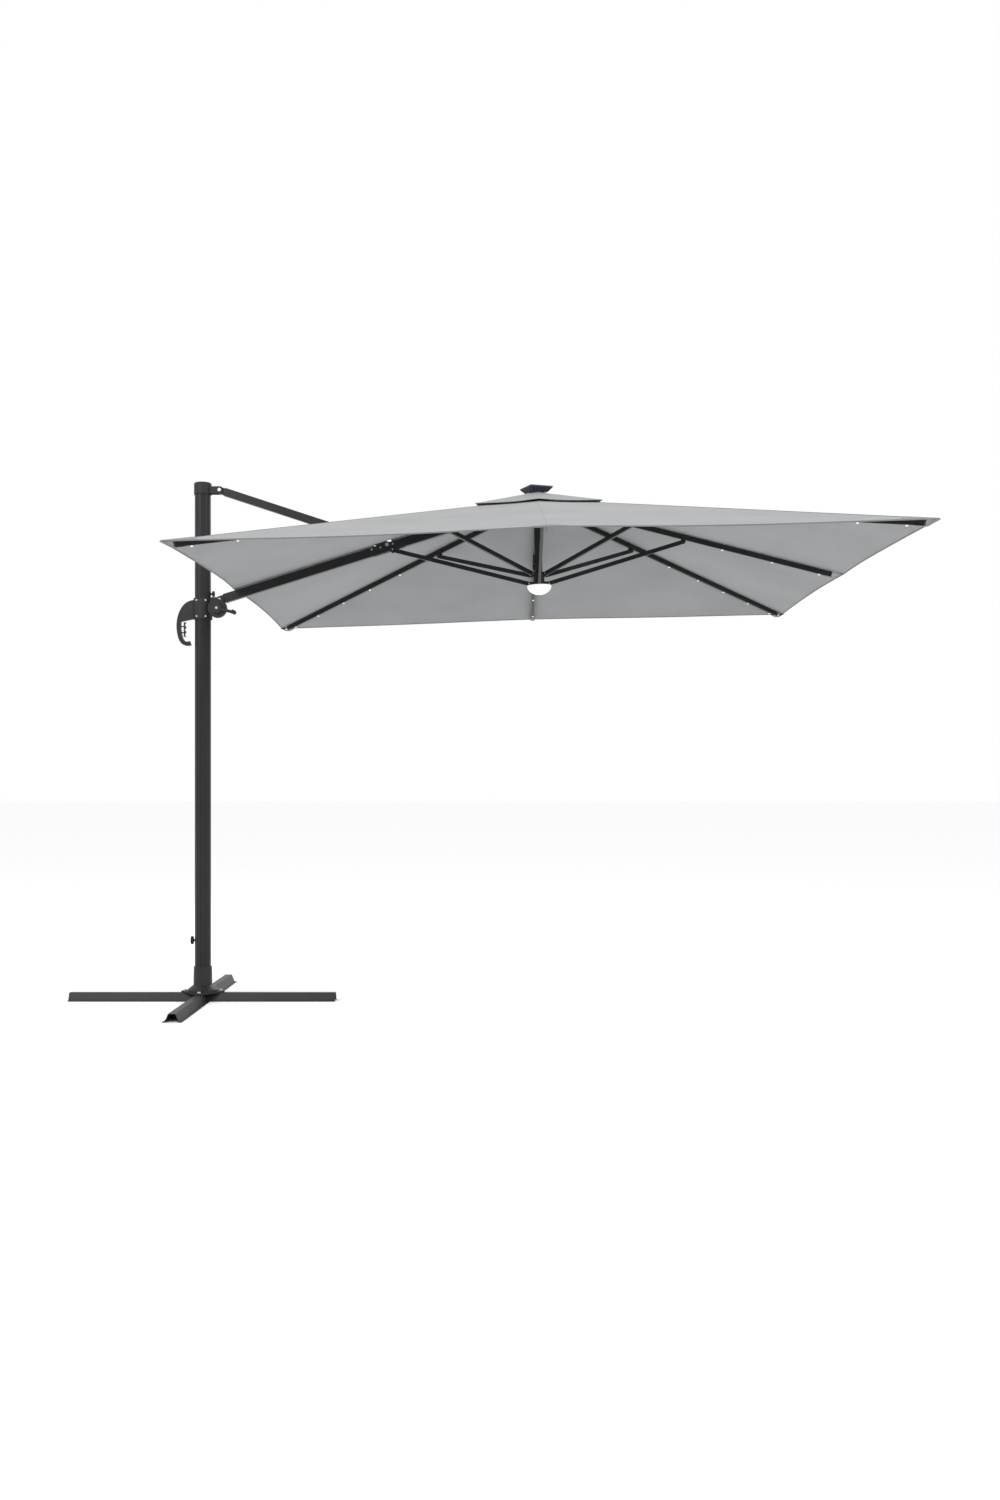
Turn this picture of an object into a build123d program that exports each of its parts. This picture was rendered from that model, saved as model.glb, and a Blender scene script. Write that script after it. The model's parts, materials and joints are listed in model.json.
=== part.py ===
from build123d import *
import math
import os

# Cantilever parasol. Millimetres, +Z up. The origin is on the ground at the mast's axis, and the
# boom points along +X. The canopy's own frame has its origin on the centre pole at the hub's
# lower hinge level, and is tilted about Y.

# Mast and base
MAST_R = 39.0
MAST_WALL = 2.5
MAST_TOP = 2486.0
MAST_FOOT = 58.0
FLUTE_R = 3.0
FLUTE_COUNT = 12
LEG_SPAN = 1306.0
LEG_W = 88.0
LEG_TOP_W = 34.0
LEG_H = 40.0
LEG_T = 3.0
PLATE_SIDE = 157.0
PLATE_T = 8.0
SOCKET_H = 120.0
BOLT_CIRCLE_R = 88.0
BOLT_R = 5.0

# Linkage: stay pivot T on the cap, boom pivot S on the slider, both PIVOT_X from the mast's axis
PIVOT_X = 85.0
STAY_PIVOT_Z = 2507.0
BOOM_PIVOT_Z = 1968.0
STAY_RUN = 822.0
T_POINT = (PIVOT_X, STAY_PIVOT_Z)
S_POINT = (PIVOT_X, BOOM_PIVOT_Z)
K_POINT = (PIVOT_X + STAY_RUN, (STAY_PIVOT_Z + BOOM_PIVOT_Z) / 2)
LINK_ANGLE = math.degrees(math.atan2((STAY_PIVOT_Z - BOOM_PIVOT_Z) / 2, STAY_RUN))
STAY_LENGTH = math.hypot(STAY_RUN, (STAY_PIVOT_Z - BOOM_PIVOT_Z) / 2)
BOOM_SLOPE = 17.42
BOOM_W = 35.0
BOOM_H = 44.0
BOOM_WALL = 2.5
STAY_W = 32.0
STAY_H = 38.0
FORK_LENGTH = 230.0
SLOT_BACK = 95.0
SLOT_AHEAD = 60.0
BOLT_SPOTS = ((-75, -24), (-32, -14), (28, 4))

# Slider, crank and handle
COLLAR_R = 46.0
COLLAR_LOW = 1872.0
COLLAR_HIGH = 1975.0
GEAR_X = 80.0
GEAR_Z = 1922.0
GEAR_R = 46.0
GEAR_Y = -42.0
GEAR_W = 30.0
CRANK_Y = -64.0
GRIP_RUN = 88.0
GRIP_FALL = 24.0
GRIP_W = 46.0
HANDLE_BAR = 20.0
HANDLE_W = 24.0
TRIGGER_STEMS = (1808.0, 1838.0)
COLLAR_FIT = 0.6
EAR_T = 4.0
EAR_BACK = 37.0
EAR_MID_Z = 1950.0
SHAFT_R = 6.0
LEVER_RING_R = 26.0
LEVER_T = 8.0
SPOOL_R = 24.0
TRIGGER_X = -88.0
TRIGGER_Z = 1823.0
SCREW_X = 22.0
SCREW_INSET = 12.0

# Mast fittings
CAP_R = 43.0
CAP_H = 58.0
KNOB_Z = 296.0
KNOB_R = 20.0
STOP_Z = 1998.0
STOP_R = 14.0
KNOB_REACH = 8.0

# Canopy mechanism, in the canopy's own frame
POLE_X = 1643.0
HUB_Z = 2420.0
TILT = 1.64
HALF_SIDE = 1500.0
HINGE_R = 50.0
CORNER_LIFT = 45.0
BOOM_END_RUN = POLE_X - HINGE_R - PIVOT_X - 48
LINK = 690.0
LINK_FALL = 15.6
RUNNER_DROP = 2 * LINK * math.sin(math.radians(LINK_FALL))
RIB_W = 14.0
RIB_H = 26.0
RIB_WALL = 1.6
MID_RIB_RISE = 25.0
BOOM_RISE = 26.5
MID_SLOPE = BOOM_SLOPE - TILT
CORNER_RIB_Z = 15.0
CORNER_TIP_Z = -398.0
CORNER_TIP_R = HALF_SIDE * math.sqrt(2)
CORNER_SLOPE = math.degrees(math.atan2(CORNER_RIB_Z - CORNER_TIP_Z, CORNER_TIP_R - HINGE_R))
STRUT_W = 13.0
STRUT_H = 20.0
STRUT_INSET = 6.0
TIP_GAP = 62.0
POLE_R = 18.0
LUG_REACH = 36.0
PIN_R = 4.0
BIG_PIN_R = 5.0
PIN_HEAD_T = 3.0
PIN_FIT = 0.05
GAP = 1.0
FABRIC_T = 2.0
FABRIC_LIFT = 2.0
HEM_SAG = 28.0
PANEL_INNER_R = 150.0
LED_R = 60.0
PANEL_SIDE = 120.0
PANEL_FOOT = 84.0
VENT_HALF = 300.0
VENT_HOLE_R = 26.0
VENT_PEAK = 73.0

RIBS = {
    "right": 0.0,
    "back_right": 45.0,
    "back": 90.0,
    "back_left": 135.0,
    "boom": 180.0,
    "front_left": 225.0,
    "front": 270.0,
    "front_right": 315.0,
}


def is_corner(angle):
    return angle % 90 != 0


def in_canopy(shape):
    """Places a shape from the canopy's own frame into the part's frame."""
    return Pos(POLE_X, 0, HUB_Z) * Rot(0, -TILT, 0) * shape


def at_rib(shape, angle):
    """Turns a shape built along +X to a rib's direction and places it."""
    return in_canopy(Rot(0, 0, angle) * shape)


def y_cylinder(x, z, radius, length, y=0.0):
    return Pos(x, y, z) * Rot(90, 0, 0) * Cylinder(radius, length)


def bar(start, end, width, height):
    """A solid bar between two XZ points, width along Y."""
    run = math.hypot(end[0] - start[0], end[1] - start[1])
    fall = math.degrees(math.atan2(start[1] - end[1], end[0] - start[0]))
    body = Pos(run / 2, 0, 0) * Box(run, width, height)
    return Pos(start[0], 0, start[1]) * Rot(0, fall, 0) * body


def tube(start, end, width, height, wall):
    """A rectangular tube with open ends between two XZ points."""
    run = math.hypot(end[0] - start[0], end[1] - start[1])
    fall = math.degrees(math.atan2(start[1] - end[1], end[0] - start[0]))
    body = Box(run, width, height)
    body = fillet(body.edges().filter_by(Axis.X), wall)
    body -= Box(run + 2, width - 2 * wall, height - 2 * wall)
    return Pos(start[0], 0, start[1]) * Rot(0, fall, 0) * Pos(run / 2, 0, 0) * body


def slope_point(start, slope, run):
    """The XZ point at a horizontal run along a line falling at slope degrees."""
    return (start[0] + run, start[1] - run * math.tan(math.radians(slope)))


def triangle_solid(top, thickness, triangles):
    """A thin closed solid from a triangulated top surface, pushed down by its thickness."""
    low = [(x, y, z - thickness) for x, y, z in top]
    faces = []
    edge_use = {}
    for a, b, c in triangles:
        faces.append(Face(Wire.make_polygon([top[a], top[b], top[c]], close=True)))
        faces.append(Face(Wire.make_polygon([low[c], low[b], low[a]], close=True)))
        for pair in ((a, b), (b, c), (c, a)):
            key = tuple(sorted(pair))
            edge_use.setdefault(key, []).append(pair)
    for pairs in edge_use.values():
        if len(pairs) == 1:
            a, b = pairs[0]
            faces.append(Face(Wire.make_polygon([top[a], low[a], low[b]], close=True)))
            faces.append(Face(Wire.make_polygon([top[a], low[b], top[b]], close=True)))
    return Solid(Shell(faces))


# ---------------------------------------------------------------- base


def leg_section():
    """Hat profile in YZ: flanges on the ground, sloping sides and a flat top."""
    flange = 12.0
    half_low = LEG_W / 2 - flange
    half_top = LEG_TOP_W / 2
    outer = [
        (-LEG_W / 2, 0),
        (-LEG_W / 2, LEG_T),
        (-half_low - 1, LEG_T),
        (-half_top, LEG_H),
        (half_top, LEG_H),
        (half_low + 1, LEG_T),
        (LEG_W / 2, LEG_T),
        (LEG_W / 2, 0),
        (half_low - 2, 0),
        (half_top - 2, LEG_H - LEG_T),
        (-half_top + 2, LEG_H - LEG_T),
        (-half_low + 2, 0),
    ]
    return Plane.YZ * make_face(Polyline(*outer, close=True).edges())


def long_leg():
    return Pos(-LEG_SPAN / 2, 0, 0) * extrude(leg_section(), LEG_SPAN)


def cross_leg_halves():
    """The second leg, in two halves that butt against the long leg's flanges."""
    full = Rot(0, 0, 90) * long_leg()
    return full - Box(LEG_SPAN, LEG_W + 1, LEG_H * 3)


def base_plate():
    """Square plate set across the legs, bolted at its corners."""
    plate = Pos(0, 0, LEG_H + PLATE_T / 2) * Rot(0, 0, 45) * Box(PLATE_SIDE, PLATE_SIDE, PLATE_T)
    plate = fillet(plate.edges().filter_by(Axis.Z), 10)
    hole = Cylinder(BOLT_R + 0.3, PLATE_T * 2)
    return plate - Pos(0, 0, LEG_H + PLATE_T / 2) * PolarLocations(BOLT_CIRCLE_R, 4) * hole


def base_bolts():
    """Four hexagon-headed bolts."""
    head_z = LEG_H + PLATE_T
    head = Pos(0, 0, head_z + 3.5) * extrude(RegularPolygon(9, 6), 3.5, both=True)
    shank = Pos(0, 0, head_z - PLATE_T / 2) * Cylinder(BOLT_R, PLATE_T)
    bolt = head + shank
    return Compound(children=[loc * bolt for loc in PolarLocations(BOLT_CIRCLE_R, 4)])


def mast_socket():
    """Flared steel foot that the mast turns in."""
    profile = Polyline(
        (MAST_R + 1, LEG_H + PLATE_T),
        (74, LEG_H + PLATE_T),
        (74, LEG_H + PLATE_T + 8),
        (MAST_R + 7, LEG_H + PLATE_T + 30),
        (MAST_R + 5, LEG_H + PLATE_T + SOCKET_H),
        (MAST_R + 1, LEG_H + PLATE_T + SOCKET_H),
        close=True,
    )
    return revolve(Plane.XZ * make_face(profile.edges()), Axis.Z, 360)


# ---------------------------------------------------------------- mast


def mast_tube():
    """Round fluted aluminium tube."""
    outline = Circle(MAST_R)
    for place in PolarLocations(MAST_R + FLUTE_R * 0.3, FLUTE_COUNT):
        outline -= place * Circle(FLUTE_R)
    outline -= Circle(MAST_R - MAST_WALL - FLUTE_R)
    return Pos(0, 0, MAST_FOOT) * extrude(outline, MAST_TOP - MAST_FOOT)


def mast_cap():
    """Rounded head of the mast, with two ears that carry the stay's pivot."""
    cap = Pos(0, 0, MAST_TOP + CAP_H / 2) * Cylinder(CAP_R, CAP_H)
    cap = fillet(cap.edges().filter_by(GeomType.CIRCLE).sort_by(Axis.Z)[-1], 8)
    ear = Pos(62, 0, STAY_PIVOT_Z) * Box(76, EAR_T, 34)
    ear = fillet(ear.edges().filter_by(Axis.Y), 12)
    ear_y = STAY_W / 2 + GAP + 2
    for side in (-1, 1):
        cap += Pos(0, side * ear_y, 0) * ear
    cap -= y_cylinder(PIVOT_X, STAY_PIVOT_Z, BIG_PIN_R, 100)
    return cap


def stay_pin():
    """Pin through the cap's ears."""
    pin = y_cylinder(PIVOT_X, STAY_PIVOT_Z, BIG_PIN_R, STAY_W + 14)
    for side in (-1, 1):
        pin += y_cylinder(PIVOT_X, STAY_PIVOT_Z, 8, PIN_HEAD_T, side * (STAY_W / 2 + 6.6))
    return pin


def side_knob(z, x_side, radius, reach):
    """A small clamping knob standing out of the mast's side."""
    stem = Rot(0, 90, 0) * Cylinder(5, reach)
    grip = Pos(reach / 2 + 5, 0, 0) * Rot(0, 90, 0) * Cylinder(radius, 10)
    knob = fillet((stem + grip).edges().filter_by(GeomType.CIRCLE).sort_by(Axis.X)[-1], 2)
    turn = 0 if x_side > 0 else 180
    return Pos(x_side * (MAST_R + reach / 2 + 0.5), 0, z) * (Rot(0, 0, turn) * knob)


# ---------------------------------------------------------------- slider and crank


def slider_collar():
    """Sleeve around the mast, with two ears that carry the boom's pivot."""
    height = COLLAR_HIGH - COLLAR_LOW
    collar = Pos(0, 0, COLLAR_LOW + height / 2) * Cylinder(COLLAR_R, height)
    ear = Pos(EAR_BACK + 35, 0, EAR_MID_Z) * Box(70, EAR_T, 60)
    ear = fillet(ear.edges().filter_by(Axis.Y), 14)
    ear_y = BOOM_W / 2 + GAP + 2
    for side in (-1, 1):
        collar += Pos(0, side * ear_y, 0) * ear
    collar -= y_cylinder(PIVOT_X, BOOM_PIVOT_Z, BIG_PIN_R, 80)
    return collar - Pos(0, 0, EAR_MID_Z) * Cylinder(MAST_R + COLLAR_FIT, 400)


def boom_pin():
    """Pin through the collar's ears."""
    pin = y_cylinder(PIVOT_X, BOOM_PIVOT_Z, BIG_PIN_R, BOOM_W + 14)
    for side in (-1, 1):
        pin += y_cylinder(PIVOT_X, BOOM_PIVOT_Z, 8, PIN_HEAD_T, side * (BOOM_W / 2 + 6.6))
    return pin


def gear_housing():
    """Round hollow casing for the winding gear, on the near side of the collar."""
    shell = y_cylinder(GEAR_X, GEAR_Z, GEAR_R, GEAR_W, GEAR_Y)
    shell = fillet(shell.edges().filter_by(GeomType.CIRCLE), 4)
    shell -= y_cylinder(GEAR_X, GEAR_Z, GEAR_R - 6, GEAR_W - 8, GEAR_Y)
    shell -= y_cylinder(GEAR_X, GEAR_Z, 6.5, 20, GEAR_Y - GEAR_W / 2)
    return shell - Pos(0, 0, GEAR_Z) * Cylinder(COLLAR_R + 0.5, 200)


def winding_spool():
    """Spool inside the casing that the hoisting line winds on."""
    spool = y_cylinder(GEAR_X, GEAR_Z, 12, 16, GEAR_Y)
    for side in (-1, 1):
        spool += y_cylinder(GEAR_X, GEAR_Z, SPOOL_R, 3, GEAR_Y + side * 7)
    return spool - y_cylinder(GEAR_X, GEAR_Z, SHAFT_R, 40, GEAR_Y)


def crank_shaft():
    """Shaft from the winding spool out to the crank lever."""
    inner_end = GEAR_Y + GEAR_W / 2 - 5
    outer_end = CRANK_Y - 6
    return y_cylinder(GEAR_X, GEAR_Z, SHAFT_R, inner_end - outer_end, (inner_end + outer_end) / 2)


def crank_lever():
    """Ring hub and an arm out to the grip."""
    ring = y_cylinder(GEAR_X, GEAR_Z, LEVER_RING_R, LEVER_T, CRANK_Y)
    ring = fillet(ring.edges().filter_by(GeomType.CIRCLE), 2)
    arm = bar((GEAR_X, GEAR_Z), (GEAR_X + GRIP_RUN + 6, GEAR_Z - GRIP_FALL - 1), 6, 15)
    lever = ring + Pos(0, CRANK_Y, 0) * arm
    return lever - y_cylinder(GEAR_X, GEAR_Z, SHAFT_R, 40, CRANK_Y)


def crank_grip():
    """Round grip that spins at the lever's end."""
    grip = y_cylinder(GEAR_X + GRIP_RUN, GEAR_Z - GRIP_FALL, 10, GRIP_W, CRANK_Y - 3.4 - GRIP_W / 2)
    return fillet(grip.edges().filter_by(GeomType.CIRCLE), 3)


def slider_handle():
    """Curved hook handle on the side away from the boom."""
    route = Spline((-30, 1958), (-84, 1938), (-113, 1880), (-115, 1810), (-92, 1758), (-60, 1756))
    hook = trace(route, line_width=HANDLE_BAR)
    hook = Pos(0, HANDLE_W / 2, 0) * extrude(Plane.XZ * hook.faces()[0], HANDLE_W)
    web = Polyline((-30, 1962), (-84, 1942), (-115, 1880), (-104, 1862), (-30, 1878), close=True)
    hook += Pos(0, HANDLE_W / 2, 0) * extrude(Plane.XZ * make_face(web.edges()), HANDLE_W)
    for z in TRIGGER_STEMS:
        hook -= Pos(-108, 0, z) * Rot(0, 90, 0) * Cylinder(3.4, 24)
    return hook - Pos(0, 0, 1850) * Cylinder(COLLAR_R + 0.5, 400)


def handle_trigger():
    """Finger trigger inside the hook, with a scalloped grip and two guide stems."""
    body = Pos(TRIGGER_X, 0, TRIGGER_Z) * Box(10, 16, 70)
    for step in (-24, 0, 24):
        body -= y_cylinder(TRIGGER_X + 8, TRIGGER_Z + step, 8, 40)
    for z in TRIGGER_STEMS:
        body += Pos(TRIGGER_X - 10, 0, z) * Rot(0, 90, 0) * Cylinder(3, 16)
    return body


def slider_screws():
    """Four screw heads on the collar's near face."""
    heads = []
    for x in (-SCREW_X, SCREW_X):
        for z in (COLLAR_LOW + SCREW_INSET, COLLAR_HIGH - SCREW_INSET):
            y = -math.sqrt(COLLAR_R**2 - (abs(x) - 4) ** 2) - 1.6
            heads.append(y_cylinder(x, z, 4, 3, y))
    return Compound(children=heads)


# ---------------------------------------------------------------- stay and boom


def along(start, end, distance):
    """The XZ point a distance from start, on the line to end."""
    run = math.hypot(end[0] - start[0], end[1] - start[1])
    share = distance / run
    return (start[0] + (end[0] - start[0]) * share, start[1] + (end[1] - start[1]) * share)


def stay_beam():
    """Stay tube from the cap's pin towards the boom, ending where the fork takes over."""
    upper = along(T_POINT, K_POINT, 24)
    lower = along(K_POINT, T_POINT, FORK_LENGTH - 20)
    return tube(upper, lower, STAY_W, STAY_H, BOOM_WALL)


def stay_head():
    """Eye block in the stay's upper end, on the cap's pin."""
    inside = 2 * BOOM_WALL + 0.4
    body = bar(T_POINT, along(T_POINT, K_POINT, 60), STAY_W - inside, STAY_H - inside)
    body += y_cylinder(*T_POINT, 15, STAY_W - 0.4)
    return body - y_cylinder(*T_POINT, BIG_PIN_R + PIN_FIT, 100)


def stay_fork():
    """Two cheeks that straddle the boom's bracket."""
    cheek_y = BOOM_W / 2 + 5.5 + GAP
    cheek = bar(K_POINT, along(K_POINT, T_POINT, FORK_LENGTH + 30), 3, STAY_H - 6)
    cheek += y_cylinder(*K_POINT, (STAY_H - 6) / 2, 3)
    cheek -= y_cylinder(*K_POINT, BIG_PIN_R + PIN_FIT, 100)
    spacer_w = cheek_y - 1.5 - STAY_W / 2 - 0.1
    near = along(K_POINT, T_POINT, FORK_LENGTH - 15)
    far = along(K_POINT, T_POINT, FORK_LENGTH + 25)
    spacer = bar(near, far, spacer_w, STAY_H - 8)
    fork = []
    for side in (-1, 1):
        place = side * (cheek_y - 1.5 - spacer_w / 2)
        fork.append(Pos(0, side * cheek_y, 0) * cheek + Pos(0, place, 0) * spacer)
    return fork


def boom_beam():
    """Boom tube from the slider to the hub, slotted below for the strut's eye."""
    start = slope_point(S_POINT, -BOOM_SLOPE, 22)
    end = slope_point(S_POINT, -BOOM_SLOPE, BOOM_END_RUN)
    beam = tube(start, end, BOOM_W, BOOM_H, BOOM_WALL)
    low = boom_strut_pivot()
    slot_start = slope_point(low, -BOOM_SLOPE, -SLOT_BACK)
    slot_end = slope_point(low, -BOOM_SLOPE, SLOT_AHEAD)
    beam -= bar(slot_start, slot_end, STRUT_W + 5, 30)
    beam -= y_cylinder(*K_POINT, BIG_PIN_R, 2 * BOOM_W)
    return beam - y_cylinder(*low, PIN_R, 2 * BOOM_W)


def canopy_to_part(x, z):
    """A point in the canopy frame's XZ plane, in the part's frame."""
    tilt = math.radians(TILT)
    across = x * math.cos(tilt) - z * math.sin(tilt)
    up = x * math.sin(tilt) + z * math.cos(tilt)
    return (POLE_X + across, HUB_Z + up)


def link_end(x_side, lift):
    """Strut pivot on a rib, in the canopy's frame."""
    fall = math.radians(LINK_FALL)
    return (x_side * (HINGE_R + LINK * math.cos(fall)), lift - LINK * math.sin(fall))


def boom_strut_pivot():
    """Pivot of the boom's own strut, in the part's frame."""
    return canopy_to_part(*link_end(-1, 0))


def boom_heel():
    """Eye block in the boom's lower end, on the slider's pin."""
    body = bar(S_POINT, slope_point(S_POINT, -BOOM_SLOPE, 60), BOOM_W - 2 * BOOM_WALL - 0.4, 36)
    body += y_cylinder(*S_POINT, 17, BOOM_W - 0.4)
    return body - y_cylinder(*S_POINT, BIG_PIN_R + PIN_FIT, 100)


def boom_tip():
    """Eye block in the boom's upper end, on the hub's pin."""
    pivot = canopy_to_part(-HINGE_R, 0)
    end = slope_point(S_POINT, -BOOM_SLOPE, BOOM_END_RUN)
    start = slope_point(S_POINT, -BOOM_SLOPE, BOOM_END_RUN - 60)
    body = bar(start, end, BOOM_W - 2 * BOOM_WALL - 0.4, BOOM_H - 2 * BOOM_WALL - 0.4)
    neck = bar(pivot, (end[0] - 8, end[1]), RIB_W, 16)
    body += neck + y_cylinder(*pivot, 9, RIB_W)
    return body - y_cylinder(*pivot, PIN_R + PIN_FIT, 100)


def boom_bracket():
    """Two plates on the boom's sides, at the stay's pivot."""
    low = boom_strut_pivot()
    plate = bar((K_POINT[0] - 110, K_POINT[1] - 42), (K_POINT[0] + 55, K_POINT[1] + 9.8), 3, 34)
    plate += y_cylinder(*K_POINT, 15, 3) + y_cylinder(*low, 12, 3)
    plate -= y_cylinder(*K_POINT, BIG_PIN_R, 50)
    plate -= y_cylinder(*low, PIN_R, 50)
    sides = [Pos(0, side * (BOOM_W / 2 + 1.6), 0) * plate for side in (-1, 1)]
    return Compound(children=sides)


def boom_pins():
    """Stay pivot pin and strut pivot pin."""
    low = boom_strut_pivot()
    wide = y_cylinder(*K_POINT, BIG_PIN_R, BOOM_W + 20)
    slim = y_cylinder(*low, PIN_R, BOOM_W + 6.4)
    heads = [y_cylinder(*K_POINT, 9, PIN_HEAD_T, side * (BOOM_W / 2 + 9.8)) for side in (-1, 1)]
    return [wide + heads[0] + heads[1], slim]


def bracket_bolts():
    """Plain bolt heads on both bracket plates."""
    heads = []
    for ahead, up in BOLT_SPOTS:
        for side in (-1, 1):
            y = side * (BOOM_W / 2 + 3.8)
            heads.append(y_cylinder(K_POINT[0] + ahead, K_POINT[1] + up, 4.5, 1.2, y))
    return heads


# ---------------------------------------------------------------- hub, pole and runner


def lug_pair(angle, z, reach, gap, height):
    """Two ears at the hinge radius, on either side of a rib or strut."""
    ears = Pos(reach / 2 + HINGE_R - reach + 8, 0, 0) * Box(reach, gap + 6, height)
    ears -= Pos(HINGE_R, 0, 0) * Box(2 * (reach - 8), gap, height * 2)
    ears -= y_cylinder(HINGE_R, 0, PIN_R, 60)
    return Rot(0, 0, angle) * (Pos(0, 0, z) * ears)


def lug_ring(z_shift):
    """Core sleeve with the lower and upper lugs."""
    core = Pos(0, 0, z_shift + CORNER_LIFT / 2) * Cylinder(26, CORNER_LIFT + 18)
    for angle in RIBS.values():
        lift = CORNER_LIFT if is_corner(angle) else 0
        core += lug_pair(angle, z_shift + lift, LUG_REACH, RIB_W + 0.8, 17)
    return core


def hub_body():
    """Hub that carries the ribs and the boom's tip."""
    ring = lug_ring(0)
    return in_canopy(ring - Pos(0, 0, -60) * Cylinder(POLE_R + 0.1, 150))


def hub_pins():
    """Hinge pins of the ribs and of the boom's tip."""
    pins = []
    for angle in RIBS.values():
        lift = CORNER_LIFT if is_corner(angle) else 0
        pins.append(at_rib(y_cylinder(HINGE_R, lift, PIN_R, RIB_W + 6.8), angle))
    return Compound(children=pins)


def centre_pole():
    """Tube from the hub down to the lamp, that the runner slides on."""
    top = 14.0
    low = -RUNNER_DROP - 6
    pole = Cylinder(POLE_R, top - low) - Cylinder(POLE_R - 2, top - low + 2)
    return in_canopy(Pos(0, 0, (top + low) / 2) * pole)


def pole_cleat():
    """Small cleat on the pole's side."""
    cleat = Pos(-POLE_R - 5.2, 0, -250) * Box(10, 12, 46)
    return in_canopy(fillet(cleat.edges().filter_by(Axis.Y), 4))


def solar_stem():
    """Short cone that carries the solar box."""
    stem = Pos(0, 0, 65) * Cone(18, 12, 20)
    return in_canopy(stem)


def solar_panel():
    """Solar box over the vent, wider at the top and turned on its stem."""
    box = loft([
        Plane.XY.offset(75.1) * Rectangle(PANEL_FOOT, PANEL_FOOT),
        Plane.XY.offset(96) * Rectangle(PANEL_SIDE, PANEL_SIDE),
    ])
    box += Pos(0, 0, 99) * Box(PANEL_SIDE, PANEL_SIDE, 6)
    return in_canopy(Rot(0, 0, 25) * box)


def runner_body():
    """Sliding ring that carries the struts' lower ends."""
    ring = lug_ring(-RUNNER_DROP)
    bore = Pos(0, 0, -RUNNER_DROP + 60) * Cylinder(POLE_R + 1, 140)
    return in_canopy(ring - bore)


def runner_pins():
    """Hinge pins of the struts' lower ends."""
    pins = []
    for angle in RIBS.values():
        lift = (CORNER_LIFT if is_corner(angle) else 0) - RUNNER_DROP
        pins.append(at_rib(y_cylinder(HINGE_R, lift, PIN_R, RIB_W + 6.8), angle))
    return Compound(children=pins)


def led_dome():
    """Frosted lamp under the runner."""
    half = Sphere(LED_R) & Pos(0, 0, -LED_R / 2) * Box(2 * LED_R, 2 * LED_R, LED_R)
    return in_canopy(Pos(0, 0, -RUNNER_DROP - 9.6) * scale(half, by=(1, 1, 0.75)))


# ---------------------------------------------------------------- ribs and struts


def rib_line(angle):
    """Inner start, slope and tip run of a rib's centre line in its own XZ plane."""
    if is_corner(angle):
        return (HINGE_R, CORNER_RIB_Z), CORNER_SLOPE, CORNER_TIP_R - HINGE_R
    return (HINGE_R, MID_RIB_RISE), MID_SLOPE, HALF_SIDE - HINGE_R


def rib(angle):
    """Rib tube from its root eye to its end cap."""
    start, slope, run = rib_line(angle)
    inner = slope_point(start, slope, 52)
    outer = slope_point(start, slope, run - TIP_GAP - 18)
    return at_rib(tube(inner, outer, RIB_W, RIB_H, RIB_WALL), angle)


def rib_fittings(angle):
    """Root eye, strut bracket with its pin, and end cap of one rib, as a list."""
    start, slope, run = rib_line(angle)
    lift = CORNER_LIFT if is_corner(angle) else 0
    inner_w = RIB_W - 2 * RIB_WALL - 0.4
    inner_h = RIB_H - 2 * RIB_WALL - 0.4
    root = bar(slope_point(start, slope, 42), slope_point(start, slope, 80), inner_w, inner_h)
    root += bar((HINGE_R, lift), slope_point(start, slope, 48), inner_w, 14)
    root += y_cylinder(HINGE_R, lift, 8, RIB_W)
    root -= y_cylinder(HINGE_R, lift, PIN_R + PIN_FIT, 50)
    low = link_end(1, lift)
    top_run = low[0] - HINGE_R
    on_rib = slope_point(start, slope, top_run)
    cheek_in = slope_point(start, slope, top_run - 30)
    cheek_out = slope_point(start, slope, top_run + 30)
    cheek = bar(cheek_in, cheek_out, 2.5, RIB_H - 4)
    cheek += Pos(low[0], 0, (on_rib[1] + low[1]) / 2) * Box(20, 2.5, abs(on_rib[1] - low[1]))
    cheek += y_cylinder(*low, 10, 2.5)
    bracket = y_cylinder(*low, PIN_R, RIB_W + 5)
    for side in (-1, 1):
        bracket += Pos(0, side * (RIB_W / 2 + 1.5), 0) * cheek
    cap_in = slope_point(start, slope, run - TIP_GAP - 17.8)
    cap = bar(cap_in, slope_point(start, slope, run - TIP_GAP), RIB_W, RIB_H)
    cap = fillet(cap.edges().filter_by(Axis.Y), 4)
    return [at_rib(shape, angle) for shape in (root, bracket, cap)]


def strut(angle):
    """Strut from its rib's bracket down to the runner."""
    lift = CORNER_LIFT if is_corner(angle) else 0
    high = link_end(1, lift)
    low = (HINGE_R, lift - RUNNER_DROP)
    body = bar(along(high, low, STRUT_INSET), along(low, high, STRUT_INSET), STRUT_W, STRUT_H)
    body += y_cylinder(*high, 8, STRUT_W) + y_cylinder(*low, 8, STRUT_W)
    body -= y_cylinder(*high, PIN_R + PIN_FIT, 40)
    body -= y_cylinder(*low, PIN_R + 0.4, 40)
    return at_rib(body, angle)


# ---------------------------------------------------------------- fabric


def fabric_height(angle, radius):
    """Top of the fabric over a rib's centre line at a radius."""
    if angle == RIBS["boom"]:
        boom_rise = BOOM_RISE + BOOM_H / 2 / math.cos(math.radians(MID_SLOPE)) + FABRIC_LIFT + FABRIC_T
        return boom_rise - (radius - HINGE_R) * math.tan(math.radians(MID_SLOPE))
    start, slope, _ = rib_line(angle)
    rise = RIB_H / 2 / math.cos(math.radians(slope)) + FABRIC_LIFT + FABRIC_T
    return start[1] + rise - (radius - HINGE_R) * math.tan(math.radians(slope))


def polar(angle, radius, z):
    """A point in the canopy's frame at an angle and a radius."""
    return (radius * math.cos(math.radians(angle)), radius * math.sin(math.radians(angle)), z)


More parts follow.
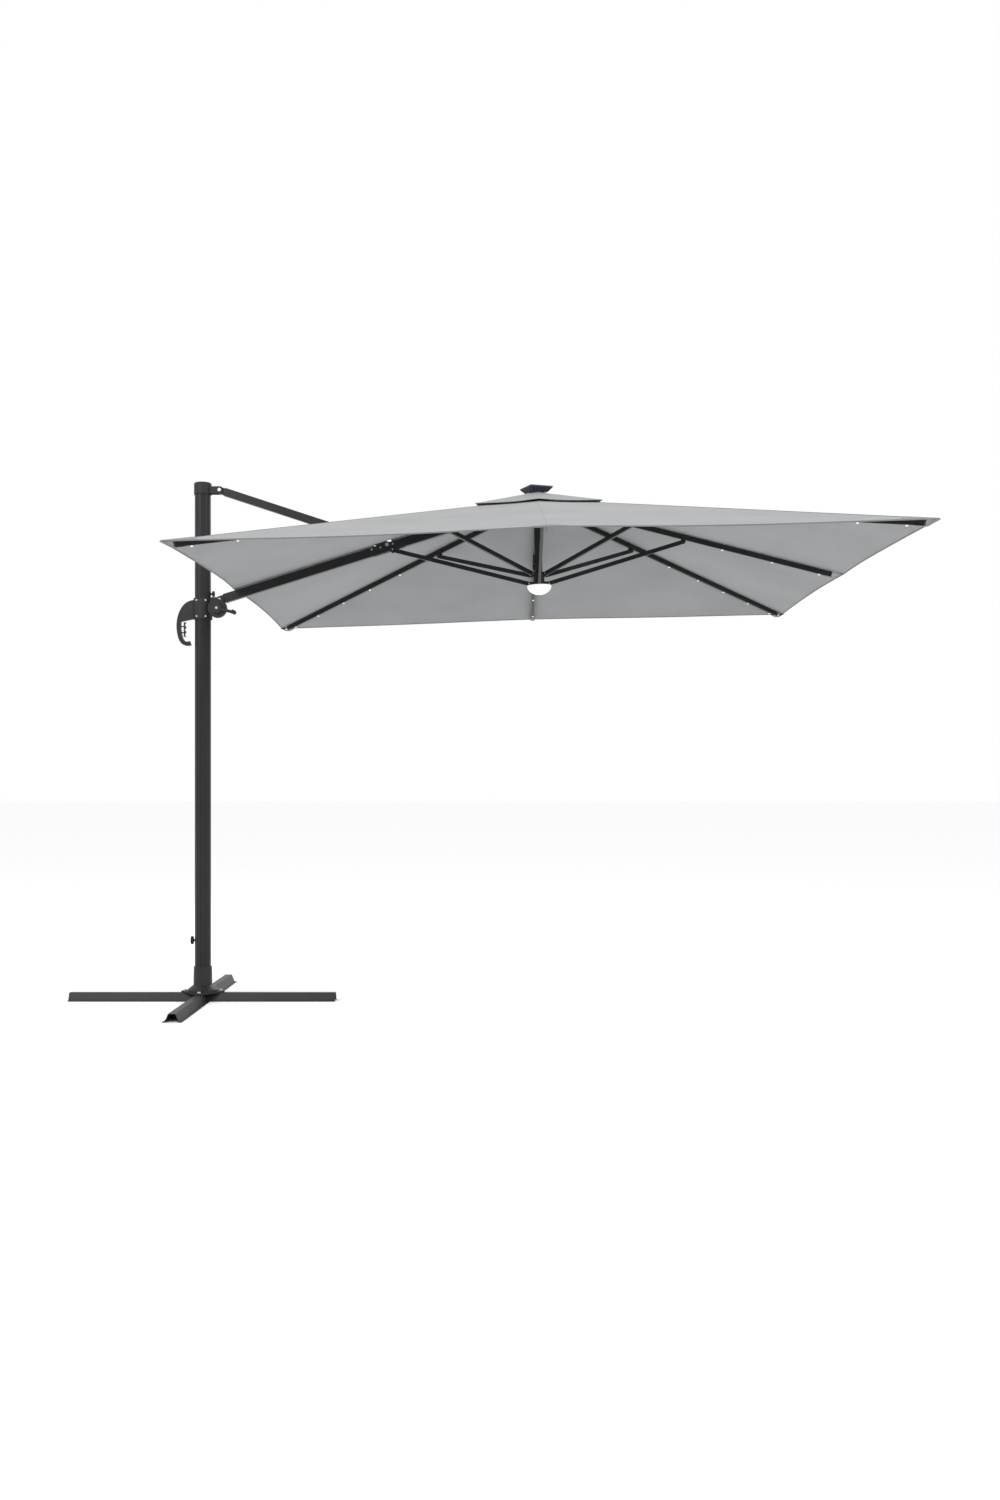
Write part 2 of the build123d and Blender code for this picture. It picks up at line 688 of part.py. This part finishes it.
def hem_radius(angle):
    """Radius of the hem over a rib."""
    return (CORNER_TIP_R if is_corner(angle) else HALF_SIDE) - 2


def seam_point(angle, side, share):
    """A point on the line half way to the neighbouring rib, from the vent (0) to the hem (1)."""
    other = (angle + side * 45) % 360
    radius_a = PANEL_INNER_R + (hem_radius(angle) - PANEL_INNER_R) * share
    radius_b = PANEL_INNER_R + (hem_radius(other) - PANEL_INNER_R) * share
    a = polar(angle, radius_a, fabric_height(angle, radius_a))
    b = polar(other, radius_b, fabric_height(other, radius_b))
    middle = [(p + q) / 2 for p, q in zip(a, b)]
    inward = 1 - HEM_SAG * share / math.hypot(middle[0], middle[1])
    return (middle[0] * inward, middle[1] * inward, middle[2])


def canopy_panel(angle):
    """The strip of fabric over one rib, out to the seams half way to its neighbours."""
    shares = (0.0, 0.35, 0.7, 1.0)
    top = []
    for share in shares:
        radius = PANEL_INNER_R + (hem_radius(angle) - PANEL_INNER_R) * share
        top.append(seam_point(angle, -1, share))
        top.append(polar(angle, radius, fabric_height(angle, radius)))
        top.append(seam_point(angle, 1, share))
    triangles = []
    for row in range(len(shares) - 1):
        for column in range(2):
            a = row * 3 + column
            triangles.append((a, a + 4, a + 1))
            triangles.append((a, a + 3, a + 4))
    panel = triangle_solid(top, FABRIC_T, triangles)
    if angle == RIBS["boom"]:
        panel = in_canopy(panel)
        low = (K_POINT[0] - 100, K_POINT[1])
        return panel - Pos(0, 0, 20) * bar(low, (K_POINT[0] + 45, K_POINT[1]), BOOM_W + 26, 200)
    return in_canopy(panel)


def vent_cap():
    """Raised second layer of fabric over the vent."""
    top = [polar(angle, VENT_HOLE_R, VENT_PEAK) for angle in RIBS.values()]
    for angle in RIBS.values():
        radius = VENT_HALF * (math.sqrt(2) if is_corner(angle) else 1)
        top.append(polar(angle, radius, fabric_height(angle, radius) + 14))
    triangles = []
    count = len(RIBS)
    for i in range(count):
        j = (i + 1) % count
        triangles.append((i, i + count, j + count))
        triangles.append((i, j + count, j))
    return in_canopy(triangle_solid(top, FABRIC_T, triangles))


def build():
    shapes = {
        "long_leg": long_leg(),
        "cross_leg_halves": cross_leg_halves(),
        "base_plate": base_plate(),
        "base_bolts": base_bolts(),
        "mast_socket": mast_socket(),
        "mast_tube": mast_tube(),
        "mast_cap": mast_cap(),
        "stay_pin": stay_pin(),
        "lock_knob": side_knob(KNOB_Z, -1, KNOB_R, KNOB_REACH),
        "stop_knob": side_knob(STOP_Z, 1, STOP_R, KNOB_REACH),
        "slider_collar": slider_collar(),
        "boom_pin": boom_pin(),
        "gear_housing": gear_housing(),
        "winding_spool": winding_spool(),
        "crank_shaft": crank_shaft(),
        "crank_lever": crank_lever(),
        "crank_grip": crank_grip(),
        "slider_handle": slider_handle(),
        "handle_trigger": handle_trigger(),
        "slider_screws": slider_screws(),
        "stay_beam": stay_beam(),
        "stay_fittings": Compound(children=[stay_head()] + stay_fork()),
        "boom_beam": boom_beam(),
        "boom_heel": boom_heel(),
        "boom_tip": boom_tip(),
        "boom_bracket": boom_bracket(),
        "boom_fasteners": Compound(children=boom_pins() + bracket_bolts()),
        "hub_body": hub_body(),
        "hub_pins": hub_pins(),
        "centre_pole": centre_pole(),
        "pole_cleat": pole_cleat(),
        "solar_stem": solar_stem(),
        "solar_panel": solar_panel(),
        "vent_cap": vent_cap(),
        "runner_body": runner_body(),
        "runner_pins": runner_pins(),
        "led_dome": led_dome(),
    }
    for name, angle in RIBS.items():
        shapes["strut_" + name] = strut(angle)
        shapes["panel_" + name] = canopy_panel(angle)
        if name != "boom":
            shapes["rib_" + name] = Compound(children=[rib(angle)] + rib_fittings(angle))
    return shapes


def main():
    os.makedirs("parts", exist_ok=True)
    for name, shape in build().items():
        export_step(shape, "parts/" + name + ".step")


main()
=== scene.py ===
import json
import math

import bmesh
import bpy
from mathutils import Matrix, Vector

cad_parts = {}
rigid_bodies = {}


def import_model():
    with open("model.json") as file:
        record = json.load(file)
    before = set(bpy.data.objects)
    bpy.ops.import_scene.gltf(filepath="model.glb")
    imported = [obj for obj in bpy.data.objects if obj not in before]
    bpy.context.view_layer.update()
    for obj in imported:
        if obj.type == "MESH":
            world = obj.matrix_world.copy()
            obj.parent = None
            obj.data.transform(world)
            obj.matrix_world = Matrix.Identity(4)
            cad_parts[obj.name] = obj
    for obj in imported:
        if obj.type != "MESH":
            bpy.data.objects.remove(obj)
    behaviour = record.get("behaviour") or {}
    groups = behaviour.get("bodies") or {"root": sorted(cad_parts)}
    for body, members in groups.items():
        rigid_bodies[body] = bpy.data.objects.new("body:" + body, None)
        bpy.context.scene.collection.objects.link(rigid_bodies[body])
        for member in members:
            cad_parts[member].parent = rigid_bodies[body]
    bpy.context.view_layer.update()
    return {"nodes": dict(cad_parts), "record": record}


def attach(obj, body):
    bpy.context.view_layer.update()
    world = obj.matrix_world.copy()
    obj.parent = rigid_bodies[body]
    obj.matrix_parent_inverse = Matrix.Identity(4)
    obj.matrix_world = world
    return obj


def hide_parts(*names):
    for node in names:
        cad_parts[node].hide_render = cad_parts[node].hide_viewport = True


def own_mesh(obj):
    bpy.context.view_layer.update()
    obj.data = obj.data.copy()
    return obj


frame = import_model()

# Canopy geometry in metres, in the canopy's own frame: origin on the pole at the hub's hinges
POLE = Vector((1.643, 0.0, 2.420))
TILT = math.radians(1.64)
HALF = 1.5
HINGE_R = 0.05
INNER_R = 0.15
HEM_SAG = 0.028
SAG = 0.012
MID_SLOPE = math.radians(15.78)
CORNER_SLOPE = math.atan2(0.413, HALF * math.sqrt(2) - HINGE_R)
MID_TOP = 0.0435
CORNER_TOP = 0.0333
BOOM_TOP = 0.0544
RIBS = {
    "right": 0, "back_right": 45, "back": 90, "back_left": 135,
    "boom": 180, "front_left": 225, "front": 270, "front_right": 315,
}

# The stay passes through a slot in the strip over the boom, this far from the pole
SLOT_IN, SLOT_OUT, SLOT_HALF = 0.722, 0.80, 0.027

# Fabric pieces
PANEL_ROWS, PANEL_HALF_COLUMNS = 81, 12
FABRIC_T = 0.0012
BINDING_T = 0.001
HEM_RADIUS = 0.003
SEAM_W = 0.014
SEAM_POINTS = 31
SEAM_LIFT = 0.0003
BOOM_SEAMS = ((0.0, 0.37), (0.53, 1.0))
VENT_HOLE, VENT_PEAK, VENT_HALF = 0.026, 0.073, 0.3
VENT_LIFT = 0.0145
VENT_ROWS, VENT_STEPS = 14, 12
NECK_RINGS = ((0.044, 0.066), (0.036, 0.071), (0.031, 0.076), (0.029, 0.0765))
NECK_STEPS, NECK_FOLDS = 64, 9
TIP_BAND_LENGTH, TIP_BAND_W = 0.105, 0.024
SHARP_ANGLE = math.radians(50)

# Lamps, as shares of the way from the vent to the hem
CORNER_LAMPS = (0.45, 0.58, 0.70, 0.82, 0.93)
MIDDLE_LAMPS = (0.56, 0.74, 0.91)
LAMP_R, LAMP_DROP = 0.006, 0.034


def new_object(name, data):
    """An object in the scene's collection."""
    obj = bpy.data.objects.new(name, data)
    bpy.context.scene.collection.objects.link(obj)
    return obj


def evaluated_mesh(obj):
    """A mesh of the object with its modifiers or its bevel applied."""
    bpy.context.view_layer.update()
    graph = bpy.context.evaluated_depsgraph_get()
    return bpy.data.meshes.new_from_object(obj.evaluated_get(graph))


# ------------------------------------------------------------ materials


def shader(name, colour, roughness, metallic=0.0):
    """A material and its principled node."""
    mat = bpy.data.materials.new(name)
    mat.use_nodes = True
    node = mat.node_tree.nodes["Principled BSDF"]
    node.inputs["Specular IOR Level"].default_value = 0.3
    node.inputs["Base Color"].default_value = (*colour, 1)
    node.inputs["Roughness"].default_value = roughness
    node.inputs["Metallic"].default_value = metallic
    return mat, node


def texture(mat, kind, **values):
    """A texture node on object coordinates."""
    tree = mat.node_tree
    coords = tree.nodes.new("ShaderNodeTexCoord")
    node = tree.nodes.new(kind)
    tree.links.new(coords.outputs["Object"], node.inputs["Vector"])
    for key, value in values.items():
        node.inputs[key].default_value = value
    return node


def bump(mat, principled, height, strength, distance):
    """Drives the surface normal from a height output."""
    tree = mat.node_tree
    node = tree.nodes.new("ShaderNodeBump")
    node.inputs["Strength"].default_value = strength
    node.inputs["Distance"].default_value = distance
    tree.links.new(height, node.inputs["Height"])
    tree.links.new(node.outputs["Normal"], principled.inputs["Normal"])


def vary(mat, principled, factor, low, high):
    """Base colour ramps between two colours by a factor output."""
    tree = mat.node_tree
    ramp = tree.nodes.new("ShaderNodeValToRGB")
    ramp.color_ramp.elements[0].position = 0.3
    ramp.color_ramp.elements[1].position = 0.7
    ramp.color_ramp.elements[0].color = (*low, 1)
    ramp.color_ramp.elements[1].color = (*high, 1)
    tree.links.new(factor, ramp.inputs["Fac"])
    tree.links.new(ramp.outputs["Color"], principled.inputs["Base Color"])


def grained(name, colour, roughness, scale, strength, metallic=0.0, spread=0.18):
    """Coated or moulded surface with a fine grain and slight colour variation."""
    mat, node = shader(name, colour, roughness, metallic)
    grain = texture(mat, "ShaderNodeTexNoise", Scale=scale, Detail=4.0)
    patches = texture(mat, "ShaderNodeTexNoise", Scale=7.0, Detail=3.0)
    low = [c * (1 - spread) for c in colour]
    high = [c * (1 + spread) for c in colour]
    vary(mat, node, patches.outputs["Fac"], low, high)
    bump(mat, node, grain.outputs["Fac"], strength, 0.0004)
    return mat


def woven(name, colour):
    """Polyester weave: two crossed thread waves, soft mottling and a slight sheen."""
    mat, node = shader(name, colour, 0.88)
    node.inputs["Sheen Weight"].default_value = 0.15
    tree = mat.node_tree
    warp = texture(mat, "ShaderNodeTexWave", Scale=180.0, Distortion=0.4)
    weft = texture(mat, "ShaderNodeTexWave", Scale=180.0, Distortion=0.4)
    weft.bands_direction = "Y"
    threads = tree.nodes.new("ShaderNodeMath")
    threads.operation = "MAXIMUM"
    tree.links.new(warp.outputs["Fac"], threads.inputs[0])
    tree.links.new(weft.outputs["Fac"], threads.inputs[1])
    mottle = texture(mat, "ShaderNodeTexNoise", Scale=3.0, Detail=5.0)
    vary(mat, node, mottle.outputs["Fac"], [c * 0.93 for c in colour], [c * 1.07 for c in colour])
    bump(mat, node, threads.outputs[0], 0.25, 0.0006)
    return mat


def solar_glass():
    """Dark cells with a fine lighter grid."""
    mat, node = shader("solar_cells", (0.012, 0.015, 0.03), 0.12)
    cells = texture(mat, "ShaderNodeTexBrick", Scale=30.0)
    cells.inputs["Color1"].default_value = (0.012, 0.015, 0.032, 1)
    cells.inputs["Color2"].default_value = (0.016, 0.02, 0.04, 1)
    cells.inputs["Mortar"].default_value = (0.12, 0.12, 0.13, 1)
    cells.inputs["Mortar Size"].default_value = 0.01
    cells.offset = 0.0
    mat.node_tree.links.new(cells.outputs["Color"], node.inputs["Base Color"])
    return mat


def lamp_material():
    """Frosted cover with a faint glow."""
    mat, node = shader("frosted_lamp", (0.88, 0.88, 0.87), 0.3)
    node.inputs["Emission Color"].default_value = (1, 1, 0.97, 1)
    node.inputs["Emission Strength"].default_value = 0.25
    fine = texture(mat, "ShaderNodeTexNoise", Scale=400.0)
    bump(mat, node, fine.outputs["Fac"], 0.15, 0.0003)
    return mat


MATERIALS = {
    "frame": grained("powder_coat", (0.010, 0.0105, 0.012), 0.36, 1400.0, 0.15, 0.0),
    "base": grained("base_coat", (0.014, 0.0145, 0.016), 0.45, 900.0, 0.3, 0.0),
    "plastic": grained("moulded_black", (0.016, 0.016, 0.018), 0.55, 700.0, 0.25),
    "steel": grained("zinc_steel", (0.5, 0.5, 0.51), 0.32, 300.0, 0.1, 1.0, 0.08),
    "knob": grained("ribbed_rubber", (0.014, 0.014, 0.014), 0.75, 500.0, 0.5),
    "fabric": woven("canopy_weave", (0.225, 0.232, 0.236)),
    "solar": solar_glass(),
    "lamp": lamp_material(),
}
TRIM = woven("edge_binding", (0.15, 0.153, 0.16))
DARK = woven("strap_weave", (0.03, 0.034, 0.036))


# ------------------------------------------------------------ fabric


def is_corner(angle):
    return angle % 90 != 0


def to_part(x, y, z):
    """A point of the canopy's frame in the part's frame."""
    return Vector((
        POLE.x + x * math.cos(TILT) - z * math.sin(TILT),
        y,
        POLE.z + x * math.sin(TILT) + z * math.cos(TILT),
    ))


def height(angle, radius):
    """Top of the fabric over a rib."""
    if is_corner(angle):
        return CORNER_TOP - (radius - HINGE_R) * math.tan(CORNER_SLOPE)
    top = BOOM_TOP if angle == RIBS["boom"] else MID_TOP
    return top - (radius - HINGE_R) * math.tan(MID_SLOPE)


def rib_point(angle, share):
    """A point of the fabric over a rib, from the vent (share 0) to the hem (share 1)."""
    outer = (HALF * math.sqrt(2) if is_corner(angle) else HALF) - 0.002
    radius = INNER_R + (outer - INNER_R) * share
    turn = math.radians(angle)
    return Vector((radius * math.cos(turn), radius * math.sin(turn), height(angle, radius)))


def cloth_point(angle, side, across, share, drop=0.0):
    """A point between a rib (across 0) and the seam half way to its neighbour (across 1)."""
    a = rib_point(angle, share)
    b = rib_point((angle + side * 45) % 360, share)
    point = a.lerp(b, across / 2)
    dip = math.sin(math.pi * across / 2)
    inward = 1 - HEM_SAG * share * dip / math.hypot(point.x, point.y)
    sag = SAG * share * (1 - 0.6 * share) * dip * dip
    return to_part(point.x * inward, point.y * inward, point.z - sag - drop)


def add_mesh(name, points, faces, material):
    """A smooth mesh piece with one material."""
    mesh = bpy.data.meshes.new(name)
    mesh.from_pydata(points, [], faces)
    mesh.materials.append(material)
    for face in mesh.polygons:
        face.use_smooth = True
    obj = new_object(name, mesh)
    return obj


def thicken(obj, thickness, offset=-1.0):
    """Turns a surface into a closed shell, with its rim kept sharp."""
    solid = obj.modifiers.new("thickness", "SOLIDIFY")
    solid.thickness = thickness
    solid.offset = offset
    done = evaluated_mesh(obj)
    obj.modifiers.clear()
    obj.data = done
    done.set_sharp_from_angle(angle=SHARP_ANGLE)


def grid_faces(rows, columns):
    """Quads between the points of a grid."""
    faces = []
    for r in range(rows - 1):
        for c in range(columns - 1):
            i = r * columns + c
            faces.append((i, i + columns, i + columns + 1, i + 1))
    return faces


def ring_faces(rows, columns, flip=False):
    """Quads between rings of points, closed around."""
    faces = []
    for r in range(rows - 1):
        for c in range(columns):
            d = (c + 1) % columns
            face = (r * columns + c, (r + 1) * columns + c, (r + 1) * columns + d, r * columns + d)
            faces.append((face[0], face[3], face[2], face[1]) if flip else face)
    return faces


def body_of_rib(name):
    return "boom" if name == "boom" else "rib_" + name


def crumple(obj):
    """Gives the piece its own copy of its mesh."""
    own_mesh(obj)


def canopy_panel(name, angle):
    """The strip of the canopy over one rib, out to the lines half way to its neighbours."""
    columns = 2 * PANEL_HALF_COLUMNS + 1
    points = []
    for r in range(PANEL_ROWS):
        share = r / (PANEL_ROWS - 1)
        for c in range(columns):
            offset = (c - PANEL_HALF_COLUMNS) / PANEL_HALF_COLUMNS
            points.append(cloth_point(angle, 1 if offset >= 0 else -1, abs(offset), share))
    faces = grid_faces(PANEL_ROWS, columns)
    if name == "boom":
        faces = [f for f in faces if not over_slot(points, f)]
    panel = add_mesh("canopy_" + name, points, faces, MATERIALS["fabric"])
    thicken(panel, FABRIC_T)
    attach(panel, body_of_rib(name))
    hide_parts("panel_" + name)
    crumple(panel)


def over_slot(points, face):
    """True for the faces that the stay passes through, near the boom's bracket."""
    centre = sum((points[i] for i in face), Vector()) / 4
    out = POLE.x - centre.x
    return SLOT_IN < out < SLOT_OUT and abs(centre.y) < SLOT_HALF


def ribbon(name, line, sideways, body):
    """A sewn strip along a line of points."""
    lift = Vector((0, 0, SEAM_LIFT))
    points = []
    for point in line:
        points += [point + sideways * SEAM_W / 2 + lift, point - sideways * SEAM_W / 2 + lift]
    strip = add_mesh(name, points, grid_faces(len(line), 2), MATERIALS["fabric"])
    thicken(strip, BINDING_T, 1.0)
    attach(strip, body)


def hem_binding(name, angle):
    """A rolled edge along the panel's hem."""
    count = PANEL_HALF_COLUMNS
    steps = [i / count for i in range(-count, count + 1)]
    curve = bpy.data.curves.new("hem_" + name, "CURVE")
    curve.dimensions = "3D"
    curve.bevel_depth = HEM_RADIUS
    line = curve.splines.new("POLY")
    line.points.add(len(steps) - 1)
    for point, step in zip(line.points, steps):
        place = cloth_point(angle, 1 if step >= 0 else -1, abs(step), 1.0, 0.001)
        point.co = (*place, 1)
    temporary = new_object("hem_line", curve)
    mesh = evaluated_mesh(temporary)
    bpy.data.objects.remove(temporary)
    mesh.materials.clear()
    mesh.materials.append(TRIM)
    hem = new_object("hem_" + name, mesh)
    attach(hem, body_of_rib(name))
    crumple(hem)


def rib_pocket(name, angle):
    """A sewn triangular pocket on the fabric at the rib's tip."""
    rows, columns = 8, 9
    reach = 0.07 if is_corner(angle) else 0.045
    points = []
    for r in range(rows):
        share = 1.0 - reach * (1 - r / (rows - 1))
        spread = (0.16 if is_corner(angle) else 0.08) * (r / (rows - 1)) + 0.02
        for c in range(columns):
            offset = (c / (columns - 1) * 2 - 1) * spread
            side = 1 if offset >= 0 else -1
            points.append(cloth_point(angle, side, abs(offset), share, -FABRIC_T))
    pocket = add_mesh("pocket_" + name, points, grid_faces(rows, columns), TRIM)
    thicken(pocket, FABRIC_T, 1.0)
    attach(pocket, body_of_rib(name))
    crumple(pocket)


def tip_webbing(name, angle):
    """A band from the fabric's tip down and under the end of the rib."""
    outer = HALF * math.sqrt(2) if is_corner(angle) else HALF
    turn = math.radians(angle)
    sideways = Vector((-math.sin(turn), math.cos(turn), 0))
    points = []
    rows, columns = 12, 5
    for r in range(rows):
        reach = TIP_BAND_LENGTH * r / (rows - 1)
        drop = 0.002 + 0.032 * min(1.0, reach / 0.058)
        centre = cloth_point(angle, 1, 0, 1 - reach / (outer - INNER_R), drop)
        for c in range(columns):
            offset = (c / (columns - 1) - 0.5) * TIP_BAND_W
            points.append(centre + sideways * offset)
    band = add_mesh("tip_" + name, points, grid_faces(rows, columns), TRIM)
    thicken(band, 0.0014)
    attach(band, body_of_rib(name))


def vent_cap():
    """The raised second layer over the vent, with a hem drawn in between the ribs."""
    points = []
    columns = VENT_STEPS * len(RIBS)
    angles = list(RIBS.values())
    for r in range(VENT_ROWS):
        share = r / (VENT_ROWS - 1)
        for c in range(columns):
            angle = angles[c // VENT_STEPS]
            mix = (c % VENT_STEPS) / VENT_STEPS
            ends = []
            for rib in (angle, (angle + 45) % 360):
                outer = VENT_HALF * (math.sqrt(2) if is_corner(rib) else 1)
                radius = VENT_HOLE + (outer - VENT_HOLE) * share
                low = height(rib, outer) + VENT_LIFT
                turn = math.radians(rib)
                z = VENT_PEAK + (low - VENT_PEAK) * share
                ends.append(Vector((radius * math.cos(turn), radius * math.sin(turn), z)))
            place = ends[0].lerp(ends[1], mix)
            dip = math.sin(math.pi * mix)
            inward = 1 - 0.05 * share * dip
            drop = 0.002 * dip * share
            points.append(to_part(place.x * inward, place.y * inward, place.z - drop))
    faces = ring_faces(VENT_ROWS, columns)
    cap = add_mesh("vent_cover", points, faces, MATERIALS["fabric"])
    thicken(cap, FABRIC_T)
    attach(cap, "hub")
    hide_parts("vent_cap")
    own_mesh(cap)


def vent_neck():
    """Gathered cloth collar between the vent's top and the solar lamp's box."""
    points = []
    for radius, z in NECK_RINGS:
        for i in range(NECK_STEPS):
            turn = 2 * math.pi * i / NECK_STEPS
            reach = radius * (1 + 0.03 * math.sin(NECK_FOLDS * turn))
            points.append(to_part(reach * math.cos(turn), reach * math.sin(turn), z))
    faces = ring_faces(len(NECK_RINGS), NECK_STEPS, flip=True)
    neck = add_mesh("vent_neck", points, faces, MATERIALS["fabric"])
    thicken(neck, BINDING_T, 1.0)
    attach(neck, "hub")


def closing_strap():
    """Dark folded strap that stands up from the back right ridge."""
    rows, columns = 9, 21
    points = []
    for r in range(rows):
        rise = r / (rows - 1)
        for c in range(columns):
            run = c / (columns - 1)
            share = 0.52 + 0.13 * run
            foot = cloth_point(RIBS["right"], 1, 0.35, share, -0.002)
            crest = 0.052 * math.sin(math.pi * min(1.0, run * 1.6 + 0.16)) * (1 - 0.55 * run)
            lean = 0.018 * rise * math.sin(3 * math.pi * run)
            points.append(foot + Vector((0, 0.02 * rise + lean, crest * rise)))
    strap = add_mesh("closing_strap", points, grid_faces(rows, columns), DARK)
    thicken(strap, 0.0015)
    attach(strap, "rib_right")
    crumple(strap)


def rib_seams():
    """The binding sewn over each rib."""
    for name, angle in RIBS.items():
        turn = math.radians(angle)
        sideways = Vector((-math.sin(turn), math.cos(turn), 0))
        spans = BOOM_SEAMS if name == "boom" else ((0.0, 1.0),)
        for index, (start, end) in enumerate(spans):
            step = SEAM_POINTS - 1
            shares = [start + (end - start) * i / step for i in range(SEAM_POINTS)]
            line = [cloth_point(angle, 1, 0, share) for share in shares]
            ribbon("seam_%s_%d" % (name, index), line, sideways, body_of_rib(name))


def lamp_dots():
    """Small lamps along the lower side of the ribs."""
    for name, angle in RIBS.items():
        if name == "boom":
            continue
        for index, share in enumerate(CORNER_LAMPS if is_corner(angle) else MIDDLE_LAMPS):
            place = cloth_point(angle, 1, 0, share, LAMP_DROP)
            bm = bmesh.new()
            bmesh.ops.create_uvsphere(bm, u_segments=20, v_segments=12, radius=LAMP_R)
            for vertex in bm.verts:
                vertex.co.z *= 0.6
                vertex.co += place
            mesh = bpy.data.meshes.new("led_%s_%d" % (name, index))
            bm.to_mesh(mesh)
            bm.free()
            mesh.materials.append(MATERIALS["lamp"])
            dot = new_object(mesh.name, mesh)
            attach(dot, body_of_rib(name))


for rib_name, rib_angle in RIBS.items():
    canopy_panel(rib_name, rib_angle)
    hem_binding(rib_name, rib_angle)
    rib_pocket(rib_name, rib_angle)
    if rib_name != "boom":
        tip_webbing(rib_name, rib_angle)
vent_cap()
vent_neck()
closing_strap()
rib_seams()
lamp_dots()


# ------------------------------------------------------------ CAD finish


def finish_node(node, obj):
    """Gives a CAD node the procedural material of its slot."""
    subparts = frame["record"]["subparts"]
    material = MATERIALS[next(s["material_slot"] for s in subparts if s["node"] == node)]
    for target in [obj, *obj.children_recursive]:
        if target.type == "MESH":
            if not target.material_slots:
                target.data.materials.append(material)
            for place in target.material_slots:
                place.material = material


for node_name, node_object in frame["nodes"].items():
    finish_node(node_name, node_object)


# ------------------------------------------------------------ stage


def floor():
    """A wide pale floor under the part."""
    mesh = bpy.data.meshes.new("floor")
    mesh.from_pydata([(-90, -90, 0), (90, -90, 0), (90, 90, 0), (-90, 90, 0)], [], [(0, 1, 2, 3)])
    mesh.materials.append(grained("pale_floor", (0.96, 0.96, 0.96), 0.95, 40.0, 0.02, 0.0, 0.01))
    new_object("floor", mesh)


def area_light(name, place, power):
    """A soft square light aimed at the middle of the part."""
    data = bpy.data.lights.new(name, "AREA")
    data.size = 4.0
    data.energy = power
    lamp = new_object(name, data)
    lamp.location = place
    aim = Vector((1.3, 0, 1.5)) - Vector(place)
    lamp.rotation_euler = aim.to_track_quat("-Z", "Y").to_euler()


def camera():
    """A level camera from in front, raised by a lens shift."""
    data = bpy.data.cameras.new("camera")
    data.sensor_width = 36.0
    data.lens = 33.6
    data.shift_y = 0.024
    data.clip_end = 200
    eye = new_object("camera", data)
    eye.location = (1.461, -6.885, 1.054)
    eye.rotation_euler = (math.radians(90), 0, 0)
    bpy.context.scene.camera = eye


def world():
    """An even white sky."""
    sky = bpy.data.worlds.new("sky")
    sky.use_nodes = True
    background = sky.node_tree.nodes["Background"]
    background.inputs["Color"].default_value = (1, 1, 1, 1)
    background.inputs["Strength"].default_value = 1.0
    bpy.context.scene.world = sky


bpy.context.scene.view_settings.view_transform = "Standard"
floor()
area_light("key", (-2.5, -5.0, 5.5), 220)
area_light("fill", (5.5, -4.0, 3.5), 120)
area_light("back", (1.5, 5.0, 4.5), 120)
camera()
world()

bpy.context.view_layer.update()
